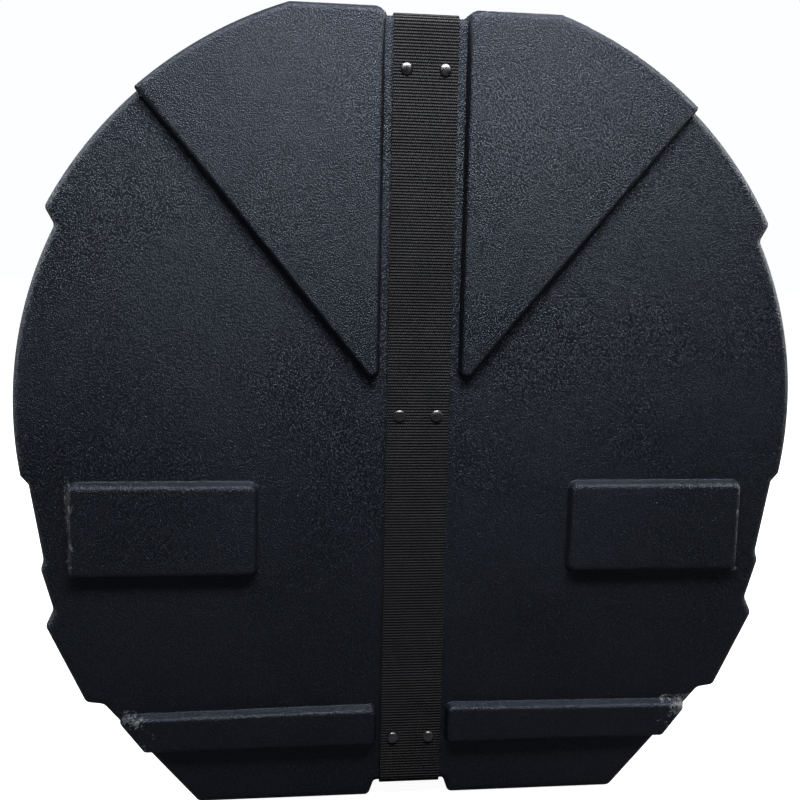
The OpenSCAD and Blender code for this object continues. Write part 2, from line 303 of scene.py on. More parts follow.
def placeGroup(tree, group, inputs):
    node = tree.nodes.new("ShaderNodeGroup")
    node.node_tree = group
    for key, value in inputs.items():
        if isinstance(value, bpy.types.NodeSocket):
            tree.links.new(value, node.inputs[key])
        else:
            node.inputs[key].default_value = value
    return node.outputs


def makePebbleGrain():
    # the moulded leather grain: rounded pebbles that run into each other
    tree, given, result = newGroup(
        "pebbleGrain",
        [("Vector", "Vector", None), ("Scale", "Float", 400.0), ("Warp", "Float", 0.0016)],
        [("Height", "Float"), ("Crevice", "Float")])
    half = maths(tree, "MULTIPLY", given["Scale"], 0.55)
    bend = put(tree, "ShaderNodeTexNoise", {"Vector": given["Vector"], "Scale": half, "Detail": 2.0})
    centred = put(tree, "ShaderNodeVectorMath", {0: bend.outputs["Color"], 1: (0.5, 0.5, 0.5)},
                  operation="SUBTRACT")
    shift = put(tree, "ShaderNodeVectorMath", {0: centred.outputs[0], "Scale": given["Warp"]},
                operation="SCALE")
    warped = put(tree, "ShaderNodeVectorMath", {0: given["Vector"], 1: shift.outputs[0]}, operation="ADD")
    cells = put(tree, "ShaderNodeTexVoronoi",
                {"Vector": warped.outputs[0], "Scale": given["Scale"]})
    pebble = ranged(tree, cells.outputs["Distance"], 0.08, 0.7, 1.0, 0.0)
    fine = put(tree, "ShaderNodeTexNoise",
               {"Vector": given["Vector"], "Scale": maths(tree, "MULTIPLY", given["Scale"], 2.2),
                "Detail": 2.0})
    mixed = maths(tree, "ADD", maths(tree, "MULTIPLY", pebble, 0.75),
                  maths(tree, "MULTIPLY", fine.outputs["Fac"], 0.4))
    tree.links.new(mixed, result["Height"])
    tree.links.new(maths(tree, "SUBTRACT", 1.0, pebble), result["Crevice"])
    return tree


def makeScuffs():
    # short broken rub marks, kept to where the mask lets them be
    tree, given, result = newGroup(
        "scuffs",
        [("Vector", "Vector", None), ("Scale", "Float", 60.0), ("Where", "Float", 1.0)],
        [("Mask", "Float")])
    patch = put(tree, "ShaderNodeTexNoise",
                {"Vector": given["Vector"], "Scale": given["Scale"], "Detail": 6.0, "Roughness": 0.7,
                 "Distortion": 0.8})
    lines = put(tree, "ShaderNodeTexNoise",
                {"Vector": given["Vector"], "Scale": maths(tree, "MULTIPLY", given["Scale"], 7.0),
                 "Detail": 3.0, "Roughness": 0.6})
    level = maths(tree, "ADD", maths(tree, "MULTIPLY", patch.outputs["Fac"], 0.65),
                  maths(tree, "MULTIPLY", lines.outputs["Fac"], 0.35))
    needed = ranged(tree, given["Where"], 0.0, 1.0, 0.78, 0.51)
    over = maths(tree, "MULTIPLY", maths(tree, "SUBTRACT", level, needed), 16.0, clamp=True)
    tree.links.new(over, result["Mask"])
    return tree


def makeSoftDust():
    # broad, faint patches where dust and handling dull the surface
    tree, given, result = newGroup(
        "softDust", [("Vector", "Vector", None), ("Scale", "Float", 9.0)], [("Mask", "Float")])
    broad = put(tree, "ShaderNodeTexNoise",
                {"Vector": given["Vector"], "Scale": given["Scale"], "Detail": 5.0, "Roughness": 0.62})
    tree.links.new(ranged(tree, broad.outputs["Fac"], 0.36, 0.68), result["Mask"])
    return tree


def makeWeave():
    # the threads of the webbing: each rib's stitches lie half a step from the next rib's
    tree, given, result = newGroup(
        "weave",
        [("Along", "Float", 0.0), ("Across", "Float", 0.0), ("Pitch", "Float", 0.0023),
         ("Thread", "Float", 0.0014)],
        [("Height", "Float"), ("Gap", "Float")])
    row = maths(tree, "FLOOR", maths(tree, "DIVIDE", given["Along"], given["Pitch"]))
    column = maths(tree, "ADD", maths(tree, "DIVIDE", given["Across"], given["Thread"]),
                   maths(tree, "MULTIPLY", row, 0.5))
    wave = maths(tree, "PINGPONG", column, 0.5)
    height = ranged(tree, wave, 0.0, 0.34)
    tree.links.new(height, result["Height"])
    # the gap mask marks where shade is painted between the threads
    tree.links.new(maths(tree, "SUBTRACT", 1.0, height), result["Gap"])
    return tree


pebbleGrain = makePebbleGrain()
scuffs = makeScuffs()
softDust = makeSoftDust()
weave = makeWeave()


def newMaterial(name):
    material = bpy.data.materials.new(name)
    material.use_nodes = True
    tree = material.node_tree
    place = put(tree, "ShaderNodeTexCoord").outputs["Object"]
    axes = put(tree, "ShaderNodeSeparateXYZ", {0: place}).outputs
    return material, tree, tree.nodes["Principled BSDF"], place, axes


def colourMix(tree, factor, first, second):
    node = tree.nodes.new("ShaderNodeMix")
    node.data_type = "RGBA"
    for socket, value in zip((node.inputs[0], node.inputs[6], node.inputs[7]), (factor, first, second)):
        if isinstance(value, bpy.types.NodeSocket):
            tree.links.new(value, socket)
        else:
            socket.default_value = value
    return node.outputs[2]


def setBump(tree, shader, height, distance, strength=1.0):
    bump = put(tree, "ShaderNodeBump", {"Height": height, "Distance": distance, "Strength": strength})
    tree.links.new(bump.outputs["Normal"], shader.inputs["Normal"])


mouldedFinish = {
    "colour": (0.0024, 0.0032, 0.0058, 1),
    "dusty": (0.0044, 0.0053, 0.0082, 1),
    # painted highlight: the pebbles' tops are lighter
    "pebbleTopHighlight": (0.0095, 0.0112, 0.0160, 1),
    # painted shade: the grain's crevices are darker
    "creviceShade": (0.0008, 0.0010, 0.0020, 1),
    "scuffed": (0.2, 0.205, 0.21, 1),
    "roughness": (0.25, 0.32),
    "tint": (0.7, 0.81, 1.0, 1),
    "grainScale": 920.0,
    "grainWarp": 0.6 * mm,
    "grainDepth": 0.39 * mm,
    "creviceRoughness": 0.22,
    "dustScale": 9.0,
    "scuffScale": 85.0,
    "scuffCover": 0.7,
    "scuffRoughness": 0.25,
    "fade": (3 * mm, 1 * mm),  # outside and inside a scuffed band
    "padScuffs": 0.85,
    "padScuffReach": 14 * mm,
    "barScuffs": (190 * mm, 228 * mm),
    "specular": 0.5,
}


def bandBetween(tree, value, low, high):
    # 1 between low and high, and 0 a little way outside
    outside, inside = mouldedFinish["fade"]
    return maths(tree, "MULTIPLY", ranged(tree, value, low - outside, low + inside),
                 ranged(tree, value, high - inside, high + outside, 1.0, 0.0))


def makeMouldedPlastic():
    look = mouldedFinish
    material, tree, shader, place, axes = newMaterial("mouldedPlastic")
    grain = placeGroup(tree, pebbleGrain, {"Vector": place, "Scale": look["grainScale"],
                                           "Warp": look["grainWarp"]})
    dust = placeGroup(tree, softDust, {"Vector": place, "Scale": look["dustScale"]})["Mask"]
    away = maths(tree, "ABSOLUTE", axes["X"])
    height = maths(tree, "SUBTRACT", axes["Z"], centreZ)
    padFar, fade = panel["padX"][1], look["fade"][0]
    padEnd = maths(tree, "MULTIPLY", ranged(tree, away, padFar - look["padScuffReach"], padFar - fade),
                   ranged(tree, away, padFar, padFar + fade, 1.0, 0.0))
    onPads = maths(tree, "MULTIPLY", bandBetween(tree, height, *panel["padZ"]), padEnd)
    onBars = maths(tree, "MULTIPLY", bandBetween(tree, height, *panel["barZ"]),
                   ranged(tree, away, *look["barScuffs"]))
    where = maths(tree, "ADD", maths(tree, "MULTIPLY", onPads, look["padScuffs"]), onBars, clamp=True)
    marks = placeGroup(tree, scuffs, {"Vector": place, "Scale": look["scuffScale"], "Where": where})["Mask"]
    base = colourMix(tree, dust, look["colour"], look["dusty"])
    # painted shade: darkens the grain's crevices
    base = colourMix(tree, ranged(tree, grain["Crevice"], 0.5, 0.95), base, look["creviceShade"])
    # painted highlight: lightens the pebbles' tops
    base = colourMix(tree, ranged(tree, grain["Crevice"], 0.35, 0.05), base, look["pebbleTopHighlight"])
    cover = maths(tree, "MULTIPLY", marks, look["scuffCover"])
    tree.links.new(colourMix(tree, cover, base, look["scuffed"]), shader.inputs["Base Color"])
    low, high = look["roughness"]
    rough = maths(tree, "ADD", maths(tree, "MULTIPLY", dust, high - low), low)
    duller = ranged(tree, grain["Crevice"], 0.3, 0.9, 0.0, look["creviceRoughness"])
    rough = maths(tree, "ADD", rough, duller)
    rough = maths(tree, "ADD", rough, maths(tree, "MULTIPLY", marks, look["scuffRoughness"]), clamp=True)
    tree.links.new(rough, shader.inputs["Roughness"])
    setBump(tree, shader, grain["Height"], look["grainDepth"])
    shader.inputs["Specular IOR Level"].default_value = look["specular"]
    shader.inputs["Specular Tint"].default_value = look["tint"]
    return material


webbingFinish = {
    "colour": (0.05, 0.0492, 0.0515, 1),
    "dusty": (0.066, 0.065, 0.067, 1),
    # painted shade between the threads
    "threadGapShade": (0.002, 0.002, 0.0024, 1),
    # painted shade in the grooves between the ribs
    "groove": (0.0004, 0.0004, 0.0006, 1),
    "threadGapShadeCover": 0.85,
    "dustScale": 30.0,
    "fuzzScale": 2600.0,
    "roughness": (0.42, 0.6),
    "grooveRoughness": 0.35,
    "depth": 0.22 * mm,
    "specular": 0.15,
    "tint": (0.86, 0.91, 1.0, 1),
}


def makeWebbing(name, along):
    look = webbingFinish
    material, tree, shader, place, axes = newMaterial(name)
    threads = placeGroup(tree, weave, {"Along": axes[along], "Across": axes["X"],
                                       "Pitch": webbing["pitch"]})
    dust = placeGroup(tree, softDust, {"Vector": place, "Scale": look["dustScale"]})["Mask"]
    fuzz = put(tree, "ShaderNodeTexNoise", {"Vector": place, "Scale": look["fuzzScale"], "Detail": 3.0})
    rib = put(tree, "ShaderNodeAttribute", attribute_name="rib").outputs["Fac"]
    base = colourMix(tree, dust, look["colour"], look["dusty"])
    # painted shade: darkens the gaps between the threads
    gap = maths(tree, "MULTIPLY", threads["Gap"], look["threadGapShadeCover"])
    base = colourMix(tree, gap, base, look["threadGapShade"])
    # painted shade: the grooves between the ribs go near black
    base = colourMix(tree, ranged(tree, rib, 0.4, 0.86), look["groove"], base)
    tree.links.new(base, shader.inputs["Base Color"])
    crown = ranged(tree, fuzz.outputs["Fac"], 0.3, 0.7, *look["roughness"])
    groove = ranged(tree, rib, 0.5, 0.85, look["grooveRoughness"], 0.0)
    tree.links.new(maths(tree, "ADD", crown, groove, clamp=True), shader.inputs["Roughness"])
    relief = maths(tree, "ADD", threads["Height"], maths(tree, "MULTIPLY", fuzz.outputs["Fac"], 0.5))
    setBump(tree, shader, relief, look["depth"])
    shader.inputs["Specular IOR Level"].default_value = look["specular"]
    shader.inputs["Specular Tint"].default_value = look["tint"]
    return material


fittingFinish = {
    "plastic": {"colour": (0.009, 0.009, 0.0095, 1), "roughness": 0.34, "grainScale": 1500.0,
                "grainDepth": 0.03 * mm},
    "rubber": {"colour": (0.014, 0.014, 0.014, 1), "roughness": 0.6, "grainScale": 1200.0,
               "grainDepth": 0.06 * mm},
    "grainWarp": 0.4 * mm,
    "dustScale": 55.0,
    "dustLighter": 2.1,
    "dustRougher": 0.16,
    "scuffed": (0.1, 0.1, 0.1, 1),
    "scuffScale": 140.0,
    "scuffs": 0.45,
    "scuffCover": 0.3,
}


def makeFittingFinish(name, kind):
    # finer spark-eroded grain, with handling marks
    look, own = fittingFinish, fittingFinish[kind]
    material, tree, shader, place, _ = newMaterial(name)
    grain = placeGroup(tree, pebbleGrain, {"Vector": place, "Scale": own["grainScale"],
                                           "Warp": look["grainWarp"]})
    dust = placeGroup(tree, softDust, {"Vector": place, "Scale": look["dustScale"]})["Mask"]
    marks = placeGroup(tree, scuffs, {"Vector": place, "Scale": look["scuffScale"],
                                      "Where": look["scuffs"]})["Mask"]
    lighter = tuple(c * look["dustLighter"] for c in own["colour"][:3]) + (1,)
    base = colourMix(tree, dust, own["colour"], lighter)
    cover = maths(tree, "MULTIPLY", marks, look["scuffCover"])
    tree.links.new(colourMix(tree, cover, base, look["scuffed"]), shader.inputs["Base Color"])
    low = own["roughness"]
    tree.links.new(ranged(tree, dust, 0.0, 1.0, low, low + look["dustRougher"]), shader.inputs["Roughness"])
    setBump(tree, shader, grain["Height"], own["grainDepth"])
    return material


steelFinish = {
    "colour": (0.5, 0.5, 0.51, 1),
    "dusty": (0.32, 0.315, 0.31, 1),
    "dustScale": 90.0,
    "brushing": (2600, 2600, 240),
    "roughness": (0.26, 0.46),
    "depth": 0.02 * mm,
}


def makeSteel():
    look = steelFinish
    material, tree, shader, place, _ = newMaterial("brushedSteel")
    stretched = put(tree, "ShaderNodeMapping", {"Vector": place, "Scale": look["brushing"]})
    brushed = put(tree, "ShaderNodeTexNoise",
                  {"Vector": stretched.outputs[0], "Scale": 1.0, "Detail": 4.0}).outputs["Fac"]
    dust = placeGroup(tree, softDust, {"Vector": place, "Scale": look["dustScale"]})["Mask"]
    tree.links.new(colourMix(tree, dust, look["colour"], look["dusty"]), shader.inputs["Base Color"])
    tree.links.new(ranged(tree, brushed, 0.25, 0.75, *look["roughness"]), shader.inputs["Roughness"])
    shader.inputs["Metallic"].default_value = 1.0
    setBump(tree, shader, brushed, look["depth"])
    return material


foamFinish = {
    "colour": (0.022, 0.023, 0.025, 1),
    "dusty": (0.036, 0.037, 0.039, 1),
    # painted shade in the pores
    "poreShade": (0.009, 0.009, 0.01, 1),
    "cellScale": 900.0,
    "lumpScale": 120.0,
    "dustScale": 12.0,
    "roughness": (0.82, 0.97),
    "depth": 0.7 * mm,
    "sheen": 0.15,
}


def makeFoam():
    look = foamFinish
    material, tree, shader, place, _ = newMaterial("liningFoam")
    cells = put(tree, "ShaderNodeTexVoronoi",
                {"Vector": place, "Scale": look["cellScale"]}).outputs["Distance"]
    lumps = put(tree, "ShaderNodeTexNoise",
                {"Vector": place, "Scale": look["lumpScale"], "Detail": 6.0}).outputs["Fac"]
    dust = placeGroup(tree, softDust, {"Vector": place, "Scale": look["dustScale"]})["Mask"]
    base = colourMix(tree, dust, look["colour"], look["dusty"])
    # painted shade: the pores' hollows are darker
    poreShadeMask = ranged(tree, cells, 0.1, 0.6, 0.7, 0.0)
    tree.links.new(colourMix(tree, poreShadeMask, base, look["poreShade"]), shader.inputs["Base Color"])
    tree.links.new(ranged(tree, lumps, 0.2, 0.8, *look["roughness"]), shader.inputs["Roughness"])
    relief = maths(tree, "ADD", maths(tree, "MULTIPLY", cells, 0.5), lumps)
    setBump(tree, shader, relief, look["depth"])
    shader.inputs["Sheen Weight"].default_value = look["sheen"]
    return material


# the outline as clockwise (x, z) points from the arcs' centre
outline = {
    "sideRadius": 314 * mm,
    "upperRadius": 326.5 * mm,
    "wedgeRadius": 328.5 * mm,
    "deckHeight": 311.7 * mm,
    "channelHalf": 31 * mm,
    "channelDraft": 5 * mm,
    "channelDepth": 5 * mm,
    "wedgeAngle": 48.4,
    "notchOutAngle": 28.8,
    "notchInAngle": 27.3,
    "sideEndAngle": -9,
    "wedgeTip": 17 * mm,
    "lowerSide": [(304, -56.5), (294.5, -117), (297, -124.5), (288, -157.5), (294.5, -171.5),
                  (264.5, -236.5), (250.5, -238.5), (175.5, -326), (34, -326), (29.5, -313)],
}


def arcPoints(radius, start, end, count):
    angles = [math.radians(start + (end - start) * k / count) for k in range(count + 1)]
    return [(radius * math.cos(a), radius * math.sin(a)) for a in angles]


def rightSide():
    # the right half's points, and which of them are corners that the mould rounds
    o = outline
    deckAngle = math.degrees(math.asin(o["deckHeight"] / o["wedgeRadius"]))
    channel = [(o["channelHalf"], o["deckHeight"] - o["channelDepth"]),
               (o["channelHalf"] + o["channelDraft"], o["deckHeight"])]
    wedgeArc = arcPoints(o["wedgeRadius"], deckAngle, o["wedgeAngle"], 14)
    upperArc = arcPoints(o["upperRadius"], o["wedgeAngle"], o["notchOutAngle"], 12)
    sideArc = arcPoints(o["sideRadius"], o["notchInAngle"], o["sideEndAngle"], 22)
    lower = [(x * mm, z * mm) for x, z in o["lowerSide"]]
    corners = [upperArc[-1], sideArc[0]] + lower[1:]
    return [[(x, z + centreZ) for x, z in line]
            for line in (channel + wedgeArc + upperArc + sideArc + lower, corners, channel, wedgeArc[-1:])]


def bothSides(points):
    return points + [(-x, z) for x, z in reversed(points)]


def drawCase(name, y):
    right, *cornerSets = rightSide()
    piece = drawOutline(name, bothSides(right), y)
    markCorners(piece, [bothSides(corners) for corners in cornerSets])
    return piece


# profiles are the fillet at the foot, the round at the top and the wall's angle
panel = {
    "padProfile": (1.4 * mm, 4.2 * mm, 72),
    "padX": (125.5 * mm, 275.5 * mm),
    "padZ": (-132.5 * mm, -52.7 * mm),
    "padCorner": 8.5 * mm,
    "barProfile": (1 * mm, 3.2 * mm, 74),
    "barX": 28.3 * mm,
    "barZ": (-279 * mm, -242.6 * mm),
    "barDrop": 3 * mm,         # the top edge falls a little towards the outside
    "barOverhang": 2.8 * mm,   # past the slanting side of the foot
    "barTopShort": 3.5 * mm,
    "barCorner": 6.6 * mm,
    "wedgeProfile": (1 * mm, 3 * mm, 76),
    "wedgeTipRound": 7 * mm,
    "beyondRim": 30 * mm,
}


def panelSteps(low, top, angle):
    # a concave fillet, a drafted wall and a rounded top edge
    steep = math.radians(angle)
    turns = [steep * k / 4 for k in range(5)]
    steps = [(low * (math.sin(b) - math.sin(a)), low * (math.cos(a) - math.cos(b)))
             for a, b in zip(turns, turns[1:])]
    wallRise = shell["relief"] - (low + top) * (1 - math.cos(steep))
    steps.append((wallRise / math.tan(steep), wallRise))  # the wall itself
    turns = [steep * (1 - k / 5) for k in range(6)]
    steps += [(top * (math.sin(a) - math.sin(b)), top * (math.cos(b) - math.cos(a)))
              for a, b in zip(turns, turns[1:])]
    return steps


def roundedPoints(points, radii, count=8):
    # the outline with true arcs at the corners that have a radius
    line = []
    for k, radius in enumerate(radii):
        before, corner, after = (Vector(points[(k + step) % len(points)]) for step in (-1, 0, 1))
        if not radius:
            line.append(tuple(corner))
            continue
        a, b = (before - corner).normalized(), (after - corner).normalized()
        half = a.angle(b) / 2
        centre = corner + (a + b).normalized() * (radius / math.sin(half))
        start = corner + a * (radius / math.tan(half)) - centre
        turn = 2 * half - math.pi  # clockwise
        line += [tuple(centre + Matrix.Rotation(turn * n / count, 2) @ start) for n in range(count + 1)]
    return line


def raisedPanel(name, points, radii, profile, depth):
    # a closed block on the face at Y = 0
    piece = drawOutline(name, roundedPoints(points, radii), depth)
    bpy.ops.mesh.select_all(action="SELECT")
    extrudeBy(0, -depth, 0)
    raiseFace(piece, 0, panelSteps(*profile) + [(shell["faceStep"], 0)])
    closeNormals(piece)
    objectMode()
    return piece


def wedgePoints():
    half, far = outline["channelHalf"], panel["beyondRim"]
    top = centreZ + outline["deckHeight"] + far
    corner = math.radians(outline["wedgeAngle"])
    rim = Vector((math.cos(corner), math.sin(corner))) * outline["wedgeRadius"]
    tip = Vector((half, outline["wedgeTip"]))
    outer = rim + (rim - tip).normalized() * far
    return [(half, top), (outer.x, top), (outer.x, centreZ + outer.y), (half, centreZ + tip.y)]


def padPoints():
    (x0, x1), (z0, z1) = panel["padX"], panel["padZ"]
    return [(x0, centreZ + z1), (x1, centreZ + z1), (x1, centreZ + z0), (x0, centreZ + z0)]


def barPoints():
    # the outer end follows the slanting side of the foot
    (low, high), drop = panel["barZ"], panel["barDrop"]
    (topX, topZ), (footX, footZ) = outline["lowerSide"][6:8]
    slant = (topX - footX) / (topZ - footZ)

    def endAt(z):
        return topX * mm + (z - topZ * mm) * slant + panel["barOverhang"]

    topEnd = endAt(high - drop) - panel["barTopShort"]
    return [(panel["barX"], centreZ + high), (topEnd, centreZ + high - drop),
            (endAt(low), centreZ + low), (panel["barX"], centreZ + low)]


def drawCavity(inset, start, end):
    # the room inside the outline, from start to end
    cavity = drawOutline("cavity", bothSides(rightSide()[0]), start)
    bpy.ops.mesh.select_all(action="SELECT")
    bpy.ops.mesh.select_mode(type="FACE")
    bpy.ops.mesh.inset(thickness=inset, depth=0)
    bpy.ops.mesh.select_all(action="INVERT")
    bpy.ops.mesh.delete(type="FACE")
    bpy.ops.mesh.select_all(action="SELECT")
    extrudeBy(0, end - start, 0)
    closeNormals(cavity)
    objectMode()
    return cavity


def cutBy(piece, operation, cutter):
    applyModifier(piece, "BOOLEAN", operation=operation, object=cutter, solver="EXACT")
    bpy.data.objects.remove(cutter)


def reliefPieces():
    # the wedges and bars run out over the rim, so the wedges are cut to the rounded outline
    rim, deep = shell["rimRadius"], shell["reliefWall"]
    block = rim + shell["overlap"]
    wedgeRight = raisedPanel("wedge", wedgePoints(), (0, 0, 0, panel["wedgeTipRound"]),
                             panel["wedgeProfile"], block)
    crossing = joined("crossing", [wedgeRight, copied(wedgeRight, "wedgeLeft", mirrorX)])
    cutter = drawCase("cutter", rim)
    bpy.ops.mesh.select_all(action="SELECT")
    extrudeBy(0, -shell["relief"], 0)
    raiseFace(cutter, rim - shell["relief"], quarterRound(rim, 5))
    closeNormals(cutter)
    softenCorners(cutter, shell["cornerRounds"])
    objectMode()
    cutBy(crossing, "INTERSECT", cutter)
    barRight = raisedPanel("bar", barPoints(), [panel["barCorner"]] * 4, panel["barProfile"], block)
    ends = joined("relief", [crossing, barRight, copied(barRight, "barLeft", mirrorX)])
    cutBy(ends, "DIFFERENCE", drawCavity(deep, deep, 20 * mm))
    padRight = raisedPanel("pad", padPoints(), [panel["padCorner"]] * 4, panel["padProfile"],
                           shell["overlap"])
    return [ends, padRight, copied(padRight, "padLeft", mirrorX)]


def moulding(name, length, spigot):
    # one half of the case, with its face at Y = 0 and its open end towards +Y
    rim, wall, inset = shell["rimRadius"], shell["wall"], shell["spigotInset"]
    past = 5 * mm                                 # the cavities run out past the open end
    piece = drawCase(name, rim)
    raiseFace(piece, rim, quarterRound(rim, 6))
    bpy.ops.mesh.select_all(action="DESELECT")
    bpy.ops.mesh.select_mode(type="EDGE")
    bpy.ops.mesh.select_non_manifold()
    extrudeBy(0, length - rim, 0)
    bpy.ops.mesh.edge_face_add()
    if spigot:
        bpy.ops.mesh.select_mode(type="FACE")
        bpy.ops.mesh.normals_make_consistent(inside=False)
        selectWhere(piece, lambda co: abs(co.y - length) < 0.02 * mm, kind="FACE")
        bpy.ops.mesh.inset(thickness=inset, depth=0)
        extrudeBy(0, spigot, 0)
    closeNormals(piece)
    softenCorners(piece, shell["cornerRounds"])
    raiseFace(piece, 0, [(shell["faceStep"], 0)])
    objectMode()
    cutBy(piece, "DIFFERENCE", drawCavity(wall, wall, length - wall if spigot else length + past))
    if spigot:
        cutBy(piece, "DIFFERENCE", drawCavity(wall + inset, length - 6 * mm, length + spigot + past))
    return joined(name, [piece] + reliefPieces())


def makeShells():
    plastic = makeMouldedPlastic()
    tub = moulding("tub", splitY - backY, spigotEndY - splitY)
    tub.matrix_world = Matrix.Translation((0, backY, 0))
    finished(tub, "base", ["base_shell"], plastic)
    lid = moulding("lid", frontY - splitY - shell["lidGap"], 0)
    lid.matrix_world = Matrix.Translation((0, frontY, 0)) @ Matrix.Rotation(math.pi, 4, "Z")
    finished(lid, "lid", ["lid_shell"], plastic)
    print("shells", len(tub.data.polygons), len(lid.data.polygons), "faces")


# paths are (y, z) points along the middle of the webbing
webbing = {
    "width": 50 * mm,
    "thickness": 2 * mm,
    "groove": 0.56,            # how thick it is between the ribs, against a rib
    "grooveWidth": 0.994,      # and how wide
    "ribShape": ((0.22, 0.88), (0.5, 1.0), (0.78, 0.88)),  # (place along the rib, thickness)
    "pitch": 2.3 * mm,
    "backY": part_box("strap_back")[0].y + 1 * mm,
    "frontY": frontY + 3.2 * mm,
    "topZ": (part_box("strap_top")[0].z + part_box("strap_top")[1].z) / 2,
    "bottomZ": (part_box("strap_bottom")[0].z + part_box("strap_bottom")[1].z) / 2,
    "runY": (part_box("strap_top")[0].y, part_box("strap_top")[1].y),
    "backBend": 7.3 * mm,
    "frontBend": 8 * mm,
    "loopY": frontY + 7.8 * mm,
    "loopRadius": 3.8 * mm,
    "tailY": frontY + 5.8 * mm,
    "plugBarZ": 282 * mm,
    "bodyBarZ": 205 * mm,
    # how far above the plug's bar, or below the body's, each run changes direction
    "upperRun": (82 * mm, 17 * mm, 1 * mm),
    "tail": (15 * mm, 47 * mm, 162 * mm),
    "lowerRun": (55 * mm, 15 * mm),
    "hem": (8 * mm, 35 * mm, 85 * mm),
}


def arcPath(radius, start, end, count, centre):
    return [(centre[0] + x, centre[1] + z) for x, z in arcPoints(radius, start, end, count)]


def ribUnit(length):
    # one rib: X runs along the webbing, Y is its thickness and Z its width
    w = webbing
    deselectAll()
    bpy.ops.mesh.primitive_cube_add(
        size=1, location=(length / 2, 0, 0),
        scale=(length, w["thickness"] * w["groove"], w["width"] * w["grooveWidth"]))
    rib = bpy.context.object
    bpy.ops.object.transform_apply(location=True, rotation=True, scale=True)
    editMode(rib)
    selectWhere(rib, lambda co: abs(co.y) + abs(co.z) < 0.01 * mm, kind="FACE")
    bpy.ops.mesh.delete(type="FACE")
    for share, _ in w["ribShape"]:
        bpy.ops.mesh.select_all(action="SELECT")
        bpy.ops.mesh.bisect(plane_co=(length * share, 0, 0), plane_no=(1, 0, 0))
    for share, swell in w["ribShape"]:
        selectWhere(rib, lambda co: abs(co.x - length * share) < 0.01 * mm)
        bpy.ops.transform.resize(value=(1, swell / w["groove"], 1 / w["grooveWidth"]),
                                 center_override=(length * share, 0, 0))
    objectMode()
    crown = rib.data.attributes.new("rib", "FLOAT", "POINT")
    for v, value in zip(rib.data.vertices, crown.data):
        value.value = 1 - 2 * abs(v.co.x / length - 0.5)
    return rib


def webbingRun(name, path):
    lengths = [math.dist(a, b) for a, b in zip(path, path[1:])]
    count = round(sum(lengths) / webbing["pitch"])
    step = sum(lengths) / count
    run = ribUnit(step)
    run.name = name
    line = bpy.data.curves.new(name + "Path", "CURVE")
    line.dimensions = "2D"
    spline = line.splines.new("POLY")
    spline.points.add(len(path) - 1)
    for point, (y, z) in zip(spline.points, path):
        point.co = (y, z, 0, 1)
    guide = bpy.data.objects.new(name + "Path", line)
    bpy.context.scene.collection.objects.link(guide)
    applyModifier(run, "ARRAY", count=count, use_relative_offset=False, use_constant_offset=True,
                  constant_offset_displace=(step, 0, 0), use_merge_vertices=True,
                  merge_threshold=0.00002)
    applyModifier(run, "CURVE", object=guide, deform_axis="POS_X")
    bpy.data.objects.remove(guide)
    run.matrix_world = Matrix(((0, 0, 1, 0), (1, 0, 0, 0), (0, 1, 0, 0), (0, 0, 0, 1)))
    editMode(run)
    bpy.ops.mesh.select_all(action="SELECT")
    bpy.ops.mesh.fill_holes(sides=0)
    closeNormals(run)
    objectMode()
    return run


def makeWebbingRuns():
    w = webbing
    upright, flat = makeWebbing("webbingUpright", "Z"), makeWebbing("webbingFlat", "Y")
    (startY, endY), top, bottom, bend = w["runY"], w["topZ"], w["bottomZ"], w["backBend"]
    back = [(startY, bottom)] + arcPath(bend, 270, 180, 10, (w["backY"] + bend, bottom + bend))
    back += arcPath(bend, 180, 90, 10, (w["backY"] + bend, top - bend)) + [(startY, top)]
    finished(webbingRun("strapBack", back), "base", ["strap_back"], upright, 40)
    for name, node, z in (("strapTop", "strap_top", top), ("strapBottom", "strap_bottom", bottom)):
        run = finished(webbingRun(name, [(startY, z), (endY, z)]), None, [node], flat, 40)
        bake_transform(run)
    bend, face = w["frontBend"], w["frontY"]
    loopBackY, loopFrontY = w["loopY"] - w["loopRadius"], w["loopY"] + w["loopRadius"]
    bar, (leaves, arrives, loop) = w["plugBarZ"], w["upperRun"]
    upper = [(endY, top)] + arcPath(bend, 90, 0, 10, (face - bend, top - bend))
    upper += [(face, bar + leaves), (loopBackY, bar + arrives), (loopBackY, bar + loop)]
    run = finished(webbingRun("strapFrontUpper", upper), None, ["strap_front_upper"],
                   upright, 40)
    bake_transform(run)
    rises, settles, ends = w["tail"]
    tail = [(loopBackY, bar + loop)] + arcPath(w["loopRadius"], 180, 360, 14, (w["loopY"], bar))
    tail += [(loopFrontY, bar + rises), (w["tailY"], bar + settles), (w["tailY"], bar + ends)]
    finished(webbingRun("strapTail", tail), "plug", ["strap_tail"], upright, 40)
    bar, (leaves, arrives), (rises, settles, ends) = w["bodyBarZ"], w["lowerRun"], w["hem"]
    lower = [(endY, bottom)] + arcPath(bend, -90, 0, 10, (face - bend, bottom + bend))
    lower += [(face, bar - leaves), (loopBackY, bar - arrives)]
    lower += arcPath(w["loopRadius"], 180, 0, 14, (w["loopY"], bar))
    lower += [(loopFrontY, bar - rises), (w["tailY"], bar - settles), (w["tailY"], bar - ends)]
    finished(webbingRun("strapFrontLower", lower), "lid", ["strap_front_lower"], upright, 40)
    print("webbing")


def spunPiece(name, profile, steps=32):
    # turns (radius, height) points about Z
    piece = drawPoints(name, [(r, 0, h) for r, h in profile])
    bpy.ops.mesh.select_all(action="SELECT")
    bpy.ops.mesh.spin(steps=steps, angle=2 * math.pi, center=(0, 0, 0), axis=(0, 0, 1))
    closeNormals(piece)
    objectMode()
    return piece


